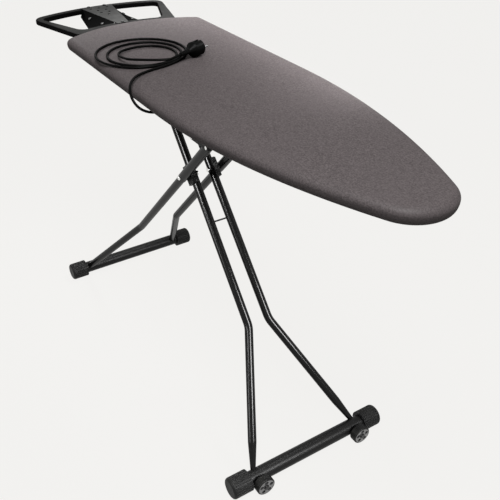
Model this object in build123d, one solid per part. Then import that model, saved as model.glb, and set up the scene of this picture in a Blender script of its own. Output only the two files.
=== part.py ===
from build123d import *
import math
import os

# Ironing board with folding legs, an iron rest and a mains lead for its socket.
# Millimetres. +X points to the nose, +Y to the left, +Z up. The origin is on the floor,
# midway between the nose and the back of the iron rest.

# Board
board_height = 910.0
board_length = 1235.0
board_width = 406.0
nose_radius = 86.0
taper_length = 650.0
rear_arc_radius = 365.0
rear_corner_radius = 26.0
inner_corner_radius = 4.0
edge_depth = 32.0
cover_thickness = 1.6
cover_edge_radius = 18.0
cover_lower_radius = 6.0
hem_width = 30.0
elastic_width = 8.0
elastic_thickness = 1.2
pad_thickness = 7.6
cloth_gap = 0.3

# Deck and rim
deck_thickness = 1.0
rim_gap = 3.0
rim_lift = 1.6
rim_width = 28.0
rim_wall = 1.2
slot_length = 40.0
slot_width = 10.0
slot_pitch_x = 64.0
slot_pitch_y = 26.0
slot_margin = 30.0

# Iron rest
rest_reach = 245.0
rest_gap = 5.0
rest_front_width = 294.0
rest_rear_width = 418.0
rest_rear_bulge = 39.5
rest_bar_width = 24.0
rest_front_bar_width = 38.0
rest_bar_height = 14.0
rest_bar_rounding = 4.0
rest_drop = 13.0
rest_rear_corner = 34.0
rest_inner_corner = 18.0
rest_front_corner = 24.0
bridge_thickness = 2.0
bridge_rear_half = 50.0
bridge_front_half = 17.0
bridge_base_rear_half = 57.0
bridge_base_front_half = 92.0
bridge_depth = 20.0
bridge_hole_radius = 4.0
bridge_hole_pitch = 26.0
strap_width = 16.0
strap_thickness = 1.5
strap_gap = 0.2
strap_back_reach = 147.0
strap_front_reach = 68.0
strap_depth_share = 0.75
strap_back_screw_share = 0.5
strap_front_screw_share = 0.36
carrier_spread = 110.0
carrier_width = 25.0
carrier_thickness = 4.0
carrier_foot = 34.0
screw_radius = 2.5
screw_head_radius = 5.0
screw_head_height = 3.0
bridge_screw_head_radius = 4.5
bridge_screw_head_height = 2.4

# Legs
foot_axis_height = 27.0
front_foot_setback = 312.3
rear_foot_overhang = 162.7
cross_setback = 416.0
cross_drop = 295.0
hinge_drop = 58.0
leg_tube_radius = 11.0
leg_tube_wall = 1.5
leg_bend_radius = 60.0
leg_end_length = 16.0
front_half_gap_top = 26.0
front_half_gap_bend = 31.0
front_foot_inset = 69.0
tube_taper_length = 85.0
tube_tip_radius = 5.5
front_bend_height = 293.0
rear_half_gap_top = 52.5
rear_half_gap_bend = 61.5
rear_foot_inset = 65.0
rear_bend_height = 305.0
sleeve_radius = 12.5
tube_fit = 0.1
sleeve_below_cross = 12.0
plug_in_length = 60.0
fold_angle = 47.0

# Foot bars, caps and wheels
foot_length = 464.0
bar_radius = 19.0
bar_wall = 1.5
cap_radius = 28.0
cap_length = 54.0
cap_end_wall = 6.0
cap_rounding = 7.0
cap_rib_count = 28
cap_groove_radius = 1.6
wheel_radius = 25.0
wheel_width = 21.0
wheel_lift = 3.0
wheel_inset = 80.0
tyre_depth = 3.6
wheel_petal_count = 5
wheel_petal_radius = 5.2
wheel_petal_ring = 14.4
wheel_petal_depth = 8.0
axle_radius = 4.0
axle_collar_radius = 8.0
axle_head_radius = 7.0
axle_head_length = 3.5
running_gap = 0.05
side_gap = 0.4
wire_radius = 2.2
wire_below_cross = 137.0

# Leg hinge under the deck
hinge_rod_radius = 5.0
hinge_rod_head_radius = 7.5
hinge_rod_head_length = 3.0
hinge_bush_wall = 2.0
hinge_bush_flange = 2.0
hinge_ear_inner = 8.0
hinge_ear_thickness = 3.0
hinge_ear_radius = 13.0
hinge_base_length = 76.0
hinge_base_width = 60.0

# Pivot where the legs cross
pivot_radius = 4.0
pivot_head_radius = 6.5
pivot_head_height = 2.6
saddle_length = 52.0
saddle_width = 30.0
saddle_boss_radius = 19.0
saddle_ear_length = 12.0
saddle_ear_width = 40.0
saddle_play = 0.8

# Slide of the rear leg
slide_rod_radius = 5.0
shoe_radius = 12.0
shoe_width = 12.0
shoe_inner = 83.0
shoe_hub_radius = 7.5
rail_play = 2.0
rail_offset = -1.0
rail_wall = 1.5
rail_flange = 18.0
rail_overrun = 26.0
rail_hanger_length = 24.0
rail_side_gap = 3.0

# Height lock
rack_thickness = 5.0
rack_height = 26.0
rack_clearance = 3.0
rack_tail = 70.0
rack_overhang = 20.0
rack_notch_count = 5
rack_notch_pitch = 22.0
rack_notch_depth = 10.0
rack_notch_play = 1.5
rack_pin_radius = 4.0
rack_pin_drop = 20.0
lock_ear_gap = 0.5
lock_ear_thickness = 3.0
lock_base_length = 50.0
lock_base_width = 46.0
release_bar_radius = 4.0
release_bar_reach = 118.0
grip_length = 50.0
grip_reach = 145.0
grip_inner = 104.0
grip_depth = 16.0
grip_top_gap = 7.0
spring_wire_radius = 0.7
spring_radius = 5.0
spring_turns = 5
spring_lift = 0.3

# Socket under the deck
socket_setback = 678.0
socket_length = 76.0
socket_height = 49.0
socket_axis_drop = 54.0
socket_inner_y = -104.0
socket_outer_y = -143.0
socket_wall = 2.5
socket_well_radius = 19.5
socket_well_depth = 17.5
socket_well_wall = 1.8
socket_pin_pitch = 19.0
socket_pin_radius = 2.9
socket_post = 12.0
gland_y = -130.0
gland_length = 32.0
gland_base_radius = 8.0
gland_tip_radius = 5.0

# Mains lead
cord_radius = 3.0
cord_lift = 0.3
coil_quarters = 11
coil_setback = 405.0
coil_start_y = -66.0
coil_bundle_angle = 14.0
coil_bundle_pitch = 8.5
coil_first_radius = 124.0
coil_shrink = 21.0
coil_climb = 9.0
lead_in_length = 28.0
plug_setback = 398.0
plug_entry_y = -36.0
plug_heading = 112.0
plug_relief_length = 30.0
plug_relief_tip_radius = 4.8
plug_relief_groove = 1.1
plug_relief_pitch = 6.0
plug_relief_base_radius = 7.0
plug_body_radius = 18.4
plug_shoulder = 14.0
plug_body_length = 42.0
plug_notch_width = 7.0
plug_notch_depth = 5.0
plug_notch_length = 18.0
plug_pin_radius = 2.4
plug_pin_length = 19.0

# Values worked out from the sizes above
half_width = board_width / 2
nose_x = (board_length + rest_reach) / 2
rear_x = nose_x - board_length
side_radius = (taper_length**2 - 2 * taper_length * nose_radius + half_width**2)
side_radius = side_radius / (2 * (half_width - nose_radius))
taper_x = nose_x - taper_length
corner_run = math.sqrt((rear_arc_radius - rear_corner_radius) ** 2 - (half_width - rear_corner_radius) ** 2)
corner_x = rear_x + rear_arc_radius - corner_run
cover_bottom = board_height - edge_depth
pad_top = board_height - cover_thickness
deck_top = pad_top - pad_thickness
deck_bottom = deck_top - deck_thickness
rim_inset = cover_thickness + rim_gap
front_foot_x = nose_x - front_foot_setback
rear_foot_x = rear_x - rear_foot_overhang
cross_x = rear_x + cross_setback
cross_height = board_height - cross_drop
hinge_height = board_height - hinge_drop
front_half_gap_foot = foot_length / 2 - front_foot_inset
rear_half_gap_foot = foot_length / 2 - rear_foot_inset
wheel_spread = foot_length / 2 - wheel_inset
socket_x = rear_x + socket_setback
socket_axis_height = board_height - socket_axis_drop
coil_start_x = rear_x + coil_setback
plug_entry_x = rear_x + plug_setback
front_angle = math.degrees(math.atan2(cross_height - foot_axis_height, front_foot_x - cross_x))
rear_angle = math.degrees(math.atan2(cross_height - foot_axis_height, cross_x - rear_foot_x))
front_sin = math.sin(math.radians(front_angle))
front_cos = math.cos(math.radians(front_angle))
rear_sin = math.sin(math.radians(rear_angle))
rear_cos = math.cos(math.radians(rear_angle))
front_cross_run = (hinge_height - cross_height) / front_sin
rear_cross_run = (hinge_height - cross_height) / rear_sin
hinge_x = cross_x - front_cross_run * front_cos
slide_x = cross_x + rear_cross_run * rear_cos
folded_slide_x = hinge_x + front_cross_run + rear_cross_run
front_bend_run = (hinge_height - front_bend_height) / front_sin
rear_bend_run = (hinge_height - rear_bend_height) / rear_sin
front_foot_run = (hinge_height - foot_axis_height) / front_sin
rear_foot_run = (hinge_height - foot_axis_height) / rear_sin
sides = {"right": -1, "left": 1}

os.makedirs("parts", exist_ok=True)


def save(name, shape):
    export_step(shape, f"parts/{name}.step")


def polar(center, radius, degrees):
    turn = math.radians(degrees)
    return (center[0] + radius * math.cos(turn), center[1] + radius * math.sin(turn))


def arc(center, radius, start, end):
    middle = (start + end) / 2
    return ThreePointArc(polar(center, radius, start), polar(center, radius, middle), polar(center, radius, end))


def block(x0, x1, y0, y1, z0, z1):
    return Pos((x0 + x1) / 2, (y0 + y1) / 2, (z0 + z1) / 2) * Box(x1 - x0, y1 - y0, z1 - z0)


def rod_between(start, end, radius):
    axis = Vector(*end) - Vector(*start)
    return extrude(Plane(origin=start, z_dir=axis) * Circle(radius), axis.length)


def cone_between(start, end, start_radius, end_radius):
    axis = Vector(*end) - Vector(*start)
    plane = Plane(origin=start, z_dir=axis)
    return loft([plane * Circle(start_radius), plane.offset(axis.length) * Circle(end_radius)])


def rod_y(x, z, y0, y1, radius):
    return rod_between((x, min(y0, y1), z), (x, max(y0, y1), z), radius)


def swept(path, radius):
    return sweep(Plane(origin=path @ 0, z_dir=path % 0) * Circle(radius), path=path)


# Board outline: nose, two tapering sides, two straight sides, two corners and a bowed rear edge
nose_center = (nose_x - nose_radius, 0)
side_center_y = half_width - side_radius
rear_center = (rear_x + rear_arc_radius, 0)
corner_center_y = half_width - rear_corner_radius
nose_angle = math.degrees(math.atan2(-side_center_y, nose_center[0] - taper_x))


def outline(inset):
    corner = max(rear_corner_radius - inset, inner_corner_radius)
    side_y = half_width - inset
    corner_y = side_y - corner
    corner_x = rear_center[0] - math.sqrt((rear_arc_radius - inset - corner) ** 2 - corner_y**2)
    corner_angle = math.degrees(math.atan2(corner_y, corner_x - rear_center[0]))
    nose = arc(nose_center, nose_radius - inset, -nose_angle, nose_angle)
    left_taper = arc((taper_x, side_center_y), side_radius - inset, nose_angle, 90)
    left_side = Line((taper_x, side_y), (corner_x, side_y))
    left_corner = arc((corner_x, corner_y), corner, 90, corner_angle)
    rear = arc(rear_center, rear_arc_radius - inset, corner_angle, 360 - corner_angle)
    right_corner = arc((corner_x, -corner_y), corner, 360 - corner_angle, 270)
    right_side = Line((corner_x, -side_y), (taper_x, -side_y))
    right_taper = arc((taper_x, -side_center_y), side_radius - inset, 270, 360 - nose_angle)
    edges = [nose, left_taper, left_side, left_corner, rear, right_corner, right_side, right_taper]
    return make_face(edges)


def slab(inset, z0, z1):
    return extrude(Pos(0, 0, z0) * outline(inset), z1 - z0)


def ring(outer_inset, inner_inset, z0, z1):
    return slab(outer_inset, z0, z1) - slab(inner_inset, z0, z1)


def rounded_slab(inset, z0, z1, top_radius, bottom_radius):
    body = slab(inset, z0, z1)
    body = fillet(body.faces().sort_by(Axis.Z)[-1].edges(), top_radius)
    return fillet(body.faces().sort_by(Axis.Z)[0].edges(), bottom_radius)


def outline_half_width(x, inset):
    if x < corner_x:
        rise = rear_corner_radius - inset
        return corner_center_y + math.sqrt(max(rise**2 - (corner_x - x) ** 2, 0))
    if x < taper_x:
        return half_width - inset
    return side_center_y + math.sqrt((side_radius - inset) ** 2 - (x - taper_x) ** 2)


# Cover, pad and the elastic in the hem
cover_outer = rounded_slab(0, cover_bottom, board_height, cover_edge_radius, cover_lower_radius)
cover_inner = rounded_slab(
    cover_thickness,
    cover_bottom + cover_thickness,
    pad_top,
    cover_edge_radius - cover_thickness,
    cover_lower_radius - cover_thickness,
)
hem_opening = slab(hem_width, cover_bottom, cover_bottom + cover_thickness)
save("cover", cover_outer - cover_inner - hem_opening)

pad_form = rounded_slab(
    cover_thickness + cloth_gap,
    cover_bottom + cover_thickness + cloth_gap,
    pad_top,
    cover_edge_radius - cover_thickness - cloth_gap,
    cover_lower_radius - cover_thickness - cloth_gap,
)
save("pad", split(pad_form, Plane.XY.offset(deck_top), keep=Keep.TOP))

elastic_low = cover_bottom + cover_thickness
elastic = ring(hem_width - elastic_width, hem_width, elastic_low, elastic_low + elastic_thickness)
save("hem_elastic", elastic)

# Perforated deck and its rim channel
slot_wire = SlotOverall(slot_length, slot_width).face().outer_wire()
slot_wires = []
row_count = int(half_width // slot_pitch_y)
for row in range(-row_count, row_count + 1):
    shift = slot_pitch_x / 2 if row % 2 else 0
    slot_x = rear_x + slot_margin + slot_length + shift
    while slot_x < nose_x - nose_radius:
        reach = abs(row) * slot_pitch_y + slot_width / 2 + slot_margin
        ends = (slot_x - slot_length / 2, slot_x + slot_length / 2)
        if all(outline_half_width(x, rim_inset) > reach for x in ends):
            slot_wires.append(Pos(slot_x, row * slot_pitch_y, 0) * slot_wire)
        slot_x += slot_pitch_x
print("deck slots", len(slot_wires))
deck_face = Face(outline(rim_inset).face().outer_wire(), slot_wires)
save("deck", extrude(Pos(0, 0, deck_bottom) * deck_face, deck_thickness))

rim_bottom = cover_bottom + cover_thickness + rim_lift
rim = ring(rim_inset, rim_inset + rim_width, rim_bottom, deck_bottom)
rim_channel = ring(
    rim_inset + rim_wall, rim_inset + rim_width + rim_wall, rim_bottom + rim_wall, deck_bottom - rim_wall
)
save("rim_frame", rim - rim_channel)

# Iron rest: a closed frame that widens to the back, and a bridge with sloping sides
rest_top = board_height - rest_drop
rest_bottom = rest_top - rest_bar_height
rest_rear_x = rear_x - rest_reach
rest_front_radius = rear_arc_radius + rest_gap
rest_back_radius = ((rest_rear_width / 2) ** 2 + rest_rear_bulge**2) / (2 * rest_rear_bulge)


def rest_arc_x(y, radius):
    return rear_center[0] - math.sqrt(radius**2 - y**2)


def rest_back_x(y, inset):
    return rest_rear_x + rest_back_radius - math.sqrt((rest_back_radius - inset) ** 2 - y**2)


def rest_outline(side_inset, front_inset, rear_inset, rear_corner, front_corner):
    front_radius = rest_front_radius + front_inset
    front_half = rest_front_width / 2 - side_inset
    rear_half = rest_rear_width / 2 - side_inset
    front_x = rest_arc_x(front_half, front_radius)
    back_x = rest_back_x(rear_half, rear_inset)
    front = ThreePointArc((front_x, front_half), (rear_center[0] - front_radius, 0), (front_x, -front_half))
    right = Line((front_x, -front_half), (back_x, -rear_half))
    back = ThreePointArc((back_x, -rear_half), (rest_rear_x + rear_inset, 0), (back_x, rear_half))
    left = Line((back_x, rear_half), (front_x, front_half))
    face = make_face([front, right, back, left])
    corners = face.vertices().sort_by(Axis.X)
    face = fillet(corners[:2], rear_corner)
    corners = face.vertices().sort_by(Axis.X)
    return fillet(corners[-2:], front_corner)


rest_face = rest_outline(0, 0, 0, rest_rear_corner, rest_front_corner)
rest_hole = rest_outline(
    rest_bar_width,
    rest_front_bar_width,
    rest_bar_width,
    rest_inner_corner,
    rest_front_corner,
)
rest_frame = extrude(Pos(0, 0, rest_bottom) * (rest_face - rest_hole), rest_bar_height)
rest_edges = rest_frame.faces().sort_by(Axis.Z)[-1].edges() + rest_frame.faces().sort_by(Axis.Z)[0].edges()
rest_frame = fillet(rest_edges, rest_bar_rounding)

bridge_back_x = rest_rear_x + rest_bar_width / 2
bridge_front_x = rest_arc_x(0, rest_front_radius + rest_front_bar_width / 2)
wing_back_x = rest_back_x(bridge_base_rear_half, rest_bar_width) + cloth_gap
wing_front_x = rest_arc_x(bridge_base_front_half, rest_front_radius + rest_front_bar_width) - cloth_gap
wing_front_x = min(wing_front_x, rest_arc_x(0, rest_front_radius + rest_front_bar_width) - cloth_gap)
bridge_slope = (bridge_rear_half - bridge_front_half) / (bridge_front_x - bridge_back_x)


def bridge_half(x):
    return bridge_rear_half - bridge_slope * (x - bridge_back_x)


def wing_half(x):
    share = (x - wing_back_x) / (wing_front_x - wing_back_x)
    return bridge_base_rear_half + (bridge_base_front_half - bridge_base_rear_half) * share


def wing_section(x, side, base_half):
    top = (side * bridge_half(x), rest_top + bridge_thickness)
    base = (side * base_half, rest_top - bridge_depth)
    back = bridge_thickness
    points = [top, base, (base[0] - side * back, base[1] - back), (top[0] - side * back, top[1] - back)]
    return Plane(origin=(x, 0, 0), x_dir=(0, 1, 0), z_dir=(1, 0, 0)) * make_face(Polyline(*points, close=True))


bridge_points = [
    (bridge_back_x, bridge_rear_half),
    (bridge_front_x, bridge_front_half),
    (bridge_front_x, -bridge_front_half),
    (bridge_back_x, -bridge_rear_half),
]
bridge = extrude(Pos(0, 0, rest_top) * make_face(Polyline(*bridge_points, close=True)), bridge_thickness)
for side in sides.values():
    back_section = wing_section(wing_back_x, side, bridge_base_rear_half)
    front_section = wing_section(wing_front_x, side, bridge_base_front_half)
    bridge += loft([back_section, front_section], ruled=True)
bridge_hole_rows = [(1, -1), (1, 0), (1, 1), (2, -0.5), (2, 0.5), (3, -0.5), (3, 0.5), (4, 0)]
for row, column in bridge_hole_rows:
    hole_x = bridge_back_x + row * bridge_hole_pitch
    bridge -= Pos(hole_x, column * bridge_hole_pitch, rest_top) * Cylinder(
        bridge_hole_radius, 4 * bridge_thickness
    )

screw_places = [(bridge_back_x + screw_head_radius + 2, y) for y in (-bridge_rear_half / 2, bridge_rear_half / 2)]
screw_places.append((bridge_front_x - screw_head_radius - 2, 0))
rest_screws = []
for x, y in screw_places:
    hole = Pos(x, y, rest_top + bridge_thickness / 2) * Cylinder(screw_radius, 4 * bridge_thickness)
    bridge -= hole
    shank_bottom = rest_bottom + rest_bar_rounding
    shank = rod_between((x, y, shank_bottom), (x, y, rest_top + bridge_thickness), screw_radius)
    rest_frame -= shank
    head_low = rest_top + bridge_thickness
    head = rod_between((x, y, head_low), (x, y, head_low + screw_head_height), screw_head_radius)
    head = fillet(head.edges().sort_by(Axis.Z)[-1], screw_head_height / 2)
    rest_screws.append(shank + head)

# Straps under the bridge from wing to wing, with a screw through each wing
wing_drop = bridge_depth + bridge_thickness
wing_slope = (bridge_base_front_half - bridge_base_rear_half) / (wing_front_x - wing_back_x)


def strap_section(x):
    spread = wing_half(x) - bridge_half(x)
    top_y = bridge_half(x) - bridge_thickness - strap_gap
    top_z = rest_top - strap_gap
    low_y = top_y + strap_depth_share * spread
    low_z = rest_top - strap_depth_share * wing_drop
    outer = [(-low_y, low_z), (-top_y, top_z), (top_y, top_z), (low_y, low_z)]
    inner = [(y - math.copysign(strap_thickness, y), z - strap_thickness) for y, z in reversed(outer)]
    face = make_face(Polyline(*outer, *inner, close=True))
    return Plane(origin=(x, 0, 0), x_dir=(0, 1, 0), z_dir=(1, 0, 0)) * face


straps = []
bridge_screws = []
strap_rows = [(strap_back_reach, strap_back_screw_share), (strap_front_reach, strap_front_screw_share)]
for reach, share in strap_rows:
    x = rear_x - reach
    strap = loft([strap_section(x - strap_width / 2), strap_section(x + strap_width / 2)], ruled=True)
    spread = wing_half(x) - bridge_half(x)
    lean = (wing_slope + bridge_slope) * share - bridge_slope
    for side in sides.values():
        seat = Vector(x, side * (bridge_half(x) + share * spread), rest_top + bridge_thickness - share * wing_drop)
        facing = Vector(-wing_drop * lean, side * wing_drop, spread).normalized()
        inner_end = seat - facing * (3 * bridge_thickness + strap_thickness)
        head_seat = seat + facing * strap_gap
        head_end = head_seat + facing * bridge_screw_head_height
        shank = rod_between(tuple(inner_end), tuple(head_seat), screw_radius)
        bridge -= shank
        strap -= shank
        head = rod_between(tuple(head_seat), tuple(head_end), bridge_screw_head_radius)
        head_rims = head.edges().filter_by(GeomType.CIRCLE).sort_by(Axis(seat, facing))
        head = fillet(head_rims[-1], bridge_screw_head_height / 2)
        bridge_screws.append(shank + head)
    straps.append(strap)
save("rest_bridge", bridge)
save("bridge_straps", Compound(children=straps))
save("bridge_screws", Compound(children=bridge_screws))

# Carrier bars from the rest's front rail to the deck, bent to pass under the hem
carrier_low = cover_bottom - cloth_gap - 2 * carrier_thickness
carrier_rest_x = rest_arc_x(carrier_spread, rest_front_radius + rest_front_bar_width)
carrier_deck_x = rest_arc_x(carrier_spread, rear_arc_radius - hem_width) + carrier_foot
rest_pad_front_x = carrier_rest_x + carrier_foot
deck_step_x = carrier_deck_x - carrier_foot / 2
carrier_profile = [
    (carrier_rest_x, rest_bottom - carrier_thickness),
    (carrier_rest_x, rest_bottom),
    (rest_pad_front_x, rest_bottom),
    (rest_pad_front_x, carrier_low + carrier_thickness),
    (deck_step_x, carrier_low + carrier_thickness),
    (deck_step_x, deck_bottom),
    (carrier_deck_x + carrier_foot / 2, deck_bottom),
    (carrier_deck_x + carrier_foot / 2, deck_bottom - carrier_thickness),
    (deck_step_x + carrier_thickness, deck_bottom - carrier_thickness),
    (deck_step_x + carrier_thickness, carrier_low),
    (rest_pad_front_x - carrier_thickness, carrier_low),
    (rest_pad_front_x - carrier_thickness, rest_bottom - carrier_thickness),
]
carrier_screws = []
for name, side in sides.items():
    side_plane = Plane(origin=(0, side * carrier_spread, 0), x_dir=(1, 0, 0), z_dir=(0, -1, 0))
    carrier = extrude(side_plane * make_face(Polyline(*carrier_profile, close=True)), carrier_width / 2, both=True)
    for x, seat in ((carrier_rest_x + carrier_foot / 3, rest_bottom), (carrier_deck_x + 4, deck_bottom)):
        y = side * carrier_spread
        top = seat + rest_bar_height - rest_bar_rounding if seat == rest_bottom else seat
        under = seat - carrier_thickness
        shank = rod_between((x, y, under), (x, y, top), screw_radius)
        carrier -= shank
        rest_frame -= shank
        head = rod_between((x, y, under - screw_head_height), (x, y, under), screw_head_radius)
        head = fillet(head.edges().sort_by(Axis.Z)[0], screw_head_height / 2)
        carrier_screws.append(shank + head)
    save(f"rest_carrier_{name}", carrier)
save("rest_frame", rest_frame)
save("rest_screws", Compound(children=rest_screws + carrier_screws))


# Leg lines: run is measured down the leg from its upper pin
def front_point(run, half_gap):
    return (hinge_x + run * front_cos, half_gap, hinge_height - run * front_sin)


def rear_point(run, half_gap):
    return (slide_x - run * rear_cos, half_gap, hinge_height - run * rear_sin)


def front_half_gap(run):
    return front_half_gap_top + (front_half_gap_bend - front_half_gap_top) * run / front_bend_run


def rear_half_gap(run):
    return rear_half_gap_top + (rear_half_gap_bend - rear_half_gap_top) * run / rear_bend_run


cross_front_gap = front_half_gap(front_cross_run)
cross_rear_gap = rear_half_gap(rear_cross_run)
lower_top_run = rear_cross_run - plug_in_length
bush_radius = hinge_rod_radius + running_gap + hinge_bush_wall


def bent_tube(points):
    path = FilletPolyline(*points, radius=leg_bend_radius)
    return swept(path, leg_tube_radius) - swept(path, leg_tube_radius - leg_tube_wall)


def tapered_tube(points):
    run = Vector(*points[2]) - Vector(*points[1])
    start = tuple(Vector(*points[2]) - run.normalized() * tube_taper_length)
    path = FilletPolyline(points[0], points[1], start, radius=leg_bend_radius)
    outer = swept(path, leg_tube_radius) + cone_between(start, points[2], leg_tube_radius, tube_tip_radius)
    bore = leg_tube_radius - leg_tube_wall
    inner = swept(path, bore) + cone_between(start, points[2], bore, tube_tip_radius - leg_tube_wall)
    return outer - inner


def foot_rod(x, radius):
    return rod_y(x, foot_axis_height, -foot_length / 2, foot_length / 2, radius)


pivot_pins = []
hinge_bushes = []
for name, side in sides.items():
    front_tube = tapered_tube(
        [
            front_point(-leg_end_length, side * front_half_gap(-leg_end_length)),
            front_point(front_bend_run, side * front_half_gap_bend),
            front_point(front_foot_run, side * front_half_gap_foot),
        ]
    )
    pivot_inner = side * (cross_front_gap - leg_tube_radius - tube_fit)
    pivot_outer = side * (cross_rear_gap + sleeve_radius)
    pivot_hole = rod_y(cross_x, cross_height, 0, pivot_outer, pivot_radius)
    front_tube -= foot_rod(front_foot_x, bar_radius)
    front_tube -= rod_y(hinge_x, hinge_height, 0, side * shoe_inner, bush_radius)
    front_tube -= pivot_hole
    save(f"front_tube_{name}", front_tube)

    running_end = pivot_outer + side * leg_tube_radius
    running_hole = rod_y(cross_x, cross_height, 0, running_end, pivot_radius + running_gap)
    rear_tube = bent_tube(
        [
            rear_point(lower_top_run, side * rear_half_gap(lower_top_run)),
            rear_point(rear_bend_run, side * rear_half_gap_bend),
            rear_point(rear_foot_run, side * rear_half_gap_foot),
        ]
    )
    rear_tube -= foot_rod(rear_foot_x, bar_radius)
    rear_tube -= running_hole
    save(f"rear_tube_{name}", rear_tube)

    sleeve_end_run = rear_cross_run + sleeve_below_cross
    sleeve_top = rear_point(-leg_end_length, side * rear_half_gap(-leg_end_length))
    sleeve_end = rear_point(sleeve_end_run, side * rear_half_gap(sleeve_end_run))
    sleeve = rod_between(sleeve_top, sleeve_end, sleeve_radius)
    sleeve -= rod_between(sleeve_top, sleeve_end, leg_tube_radius + tube_fit)
    sleeve -= rod_y(slide_x, hinge_height, 0, side * shoe_inner, slide_rod_radius)
    sleeve -= running_hole
    save(f"rear_sleeve_{name}", sleeve)

    # Pivot pin with a domed head outside the sleeve and a flat head inside the front tube
    pin_head_y = pivot_outer + side * side_gap
    tube_top = front_point(-leg_end_length, side * front_half_gap(-leg_end_length))
    tube_low = front_point(front_bend_run, side * front_half_gap_bend)
    tube_rod = rod_between(tube_top, tube_low, leg_tube_radius)
    pin = rod_y(cross_x, cross_height, pivot_inner, pin_head_y, pivot_radius)
    inner_head_y = pivot_inner - side * pivot_head_height
    inner_head = rod_y(cross_x, cross_height, pivot_inner, inner_head_y, pivot_head_radius)
    dome_y = pin_head_y + side * pivot_head_height
    dome = rod_y(cross_x, cross_height, pin_head_y, dome_y, pivot_head_radius)
    dome_edge = dome.edges().filter_by(GeomType.CIRCLE).sort_by(Axis.Y)
    dome = fillet(dome_edge[0 if side < 0 else -1], pivot_head_height * 0.8)
    pivot_pins.append(pin + inner_head + dome)

    # Plastic saddle between the two tubes at the crossing
    saddle_face = cross_rear_gap - sleeve_radius - saddle_play
    leg_plane = Plane(
        origin=(cross_x, side * cross_front_gap, cross_height), x_dir=(front_cos, 0, -front_sin), z_dir=(0, side, 0)
    )
    saddle_depth = saddle_face - cross_front_gap
    saddle = extrude(leg_plane * Rectangle(saddle_length, saddle_width), saddle_depth)
    saddle += extrude(leg_plane * Circle(saddle_boss_radius), saddle_depth)
    for end in (-1, 1):
        ear_plane = leg_plane * Pos(end * (saddle_length - saddle_ear_length) / 2, 0, 0)
        saddle += extrude(ear_plane * Rectangle(saddle_ear_length, saddle_ear_width), saddle_depth * 0.6)
    saddle -= tube_rod
    saddle -= pivot_hole
    save(f"pivot_saddle_{name}", saddle)

    # Flanged bush of the upper hinge
    bush_inner = side * (front_half_gap_top - leg_tube_radius)
    bush_outer = side * (front_half_gap_top + leg_tube_radius)
    bush = rod_y(hinge_x, hinge_height, bush_inner, bush_outer, bush_radius)
    flange = rod_y(
        hinge_x, hinge_height, bush_inner - side * hinge_bush_flange, bush_inner, bush_radius + hinge_bush_wall
    )
    bush = bush + flange
    bush -= tube_rod & flange
    bush -= rod_y(hinge_x, hinge_height, 0, side * shoe_inner, hinge_rod_radius + running_gap)
    hinge_bushes.append(bush)
save("pivot_pins", Compound(children=pivot_pins))
save("hinge_bushes", Compound(children=hinge_bushes))

# Cross wire between the front tubes
wire_run = front_cross_run + wire_below_cross
wire_gap = front_half_gap(wire_run)
cross_wire = rod_between(front_point(wire_run, -wire_gap), front_point(wire_run, wire_gap), wire_radius)
for side in sides.values():
    tube_top = front_point(-leg_end_length, side * front_half_gap(-leg_end_length))
    tube_low = front_point(front_bend_run, side * front_half_gap_bend)
    cross_wire -= rod_between(tube_top, tube_low, leg_tube_radius)
save("cross_wire", cross_wire)


# Foot bars and ribbed end caps with a flat sole
def foot_bar(x):
    half = foot_length / 2 - cap_end_wall
    tube = rod_y(x, foot_axis_height, -half, half, bar_radius)
    return tube - rod_y(x, foot_axis_height, -half, half, bar_radius - bar_wall)


def foot_cap(x, side):
    outer = side * foot_length / 2
    inner = side * (foot_length / 2 - cap_length)
    cap = rod_y(x, foot_axis_height, inner, outer, cap_radius)
    rims = cap.edges().filter_by(GeomType.CIRCLE).sort_by(Axis.Y)
    cap = fillet(rims[-1 if side > 0 else 0], cap_rounding)
    cap -= rod_y(x, foot_axis_height, inner, outer - side * cap_end_wall, bar_radius)
    for rib in range(cap_rib_count):
        turn = 360 * rib / cap_rib_count
        if abs(turn - 180) > 360 / cap_rib_count + math.degrees(math.acos(foot_axis_height / cap_radius)):
            groove_x = x + cap_radius * math.sin(math.radians(turn))
            groove_z = foot_axis_height + cap_radius * math.cos(math.radians(turn))
            cap -= rod_y(groove_x, groove_z, inner, outer - side * cap_rounding, cap_groove_radius)
    return cap - block(x - cap_radius, x + cap_radius, -foot_length, foot_length, -cap_radius, 0)


front_bar = foot_bar(front_foot_x)
save("rear_foot_bar", foot_bar(rear_foot_x))
for name, side in sides.items():
    save(f"front_cap_{name}", foot_cap(front_foot_x, side))
    save(f"rear_cap_{name}", foot_cap(rear_foot_x, side))

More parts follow.
